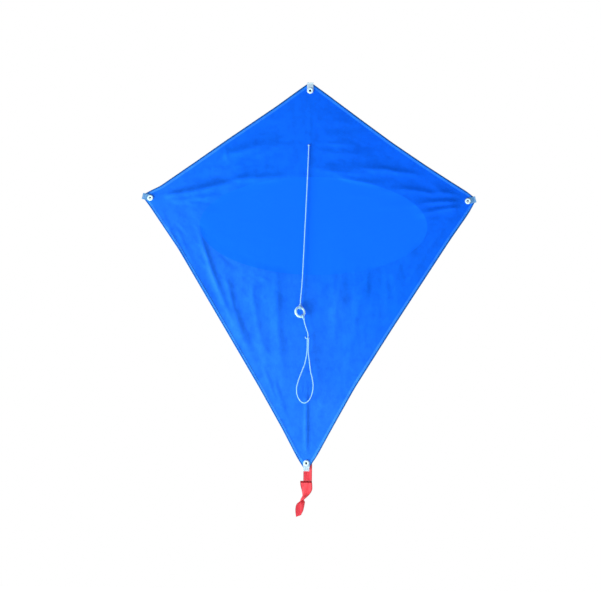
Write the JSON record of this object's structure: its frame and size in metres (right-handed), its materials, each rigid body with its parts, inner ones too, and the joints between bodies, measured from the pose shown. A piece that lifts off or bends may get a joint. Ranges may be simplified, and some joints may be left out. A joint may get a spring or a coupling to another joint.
{
  "type": "diamond kite",
  "caption": "Diamond kite: taffeta sail on crossed rods in riveted end caps, a bridle string with a tow ring and towing loop, and a ribbon tail.",
  "frame": {"origin": "centre of the nose eyelet, from which the kite hangs, in the sail's middle plane", "axes": "+Z along the spine towards the nose, -Y out of the sail's front face, +X to the right as seen from the front"},
  "size_m": [0.603, 0.032, 0.7828],
  "materials": {
    "taffeta": "plain-weave polyester taffeta with a soft sheen",
    "fibreglass": "pultruded black fibreglass rod",
    "connector_plastic": "moulded black plastic",
    "milky_plastic": "translucent milky flexible plastic",
    "white_enamel": "white enamelled metal",
    "string": "white braided polyester string",
    "ring_plastic": "moulded white plastic",
    "ribbon": "red taffeta ribbon"
  },
  "bodies": {
    "airframe": {"sail": "taffeta", "spine_rod": "fibreglass", "spreader_rod": "fibreglass", "cross_connector": "connector_plastic", "nose_cap": "milky_plastic", "right_wing_cap": "milky_plastic", "tail_cap": "milky_plastic", "left_wing_cap": "milky_plastic", "nose_eyelet": "white_enamel", "right_wing_eyelet": "white_enamel", "tail_eyelet": "white_enamel", "left_wing_eyelet": "white_enamel", "nose_washer": "white_enamel", "right_wing_washer": "white_enamel", "tail_washer": "white_enamel", "left_wing_washer": "white_enamel", "bridle_anchor_wrap": "string", "bridle_hole_knot": "string", "tail_flap": "ribbon"},
    "bridle_leg": {"bridle_upper_leg": "string"},
    "ring": {"ring_knot_upper": "string", "ring_hitch_upper": "string", "tow_ring": "ring_plastic", "ring_hitch_lower": "string", "ring_knot_lower": "string"},
    "leash": {"leash_line": "string", "loop_knot": "string", "knot_tag_end": "string"},
    "loop": {"tow_loop": "string"},
    "tail_top": {"tail_upper": "ribbon"},
    "tail_end": {"tail_streamer": "ribbon"}
  },
  "joints": [
    {"name": "bridle_lift", "type": "hinge", "parent": "airframe", "child": "bridle_leg", "pos_m": [-0.0013, -0.0022, -0.0988], "axis": [-1, 0, 0], "range_deg": [0, 110]},
    {"name": "ring_swing", "type": "hinge", "parent": "bridle_leg", "child": "ring", "pos_m": [-0.01369, -0.00528, -0.38445], "axis": [-1, 0, 0], "range_deg": [0, 60]},
    {"name": "leash_swing", "type": "hinge", "parent": "ring", "child": "leash", "pos_m": [-0.00695, -0.0081, -0.41103], "axis": [-1, 0, 0], "range_deg": [0, 60]},
    {"name": "loop_swing", "type": "hinge", "parent": "leash", "child": "loop", "pos_m": [0.0007, -0.0081, -0.446], "axis": [-1, 0, 0], "range_deg": [0, 75]},
    {"name": "tail_swing", "type": "hinge", "parent": "airframe", "child": "tail_top", "pos_m": [0, 0.0094, -0.6652], "axis": [1, 0, 0], "range_deg": [0, 100]},
    {"name": "tail_fold", "type": "hinge", "parent": "tail_top", "child": "tail_end", "pos_m": [0, 0.0094, -0.704], "axis": [1, 0, 0], "range_deg": [-75, 90]}
  ]
}
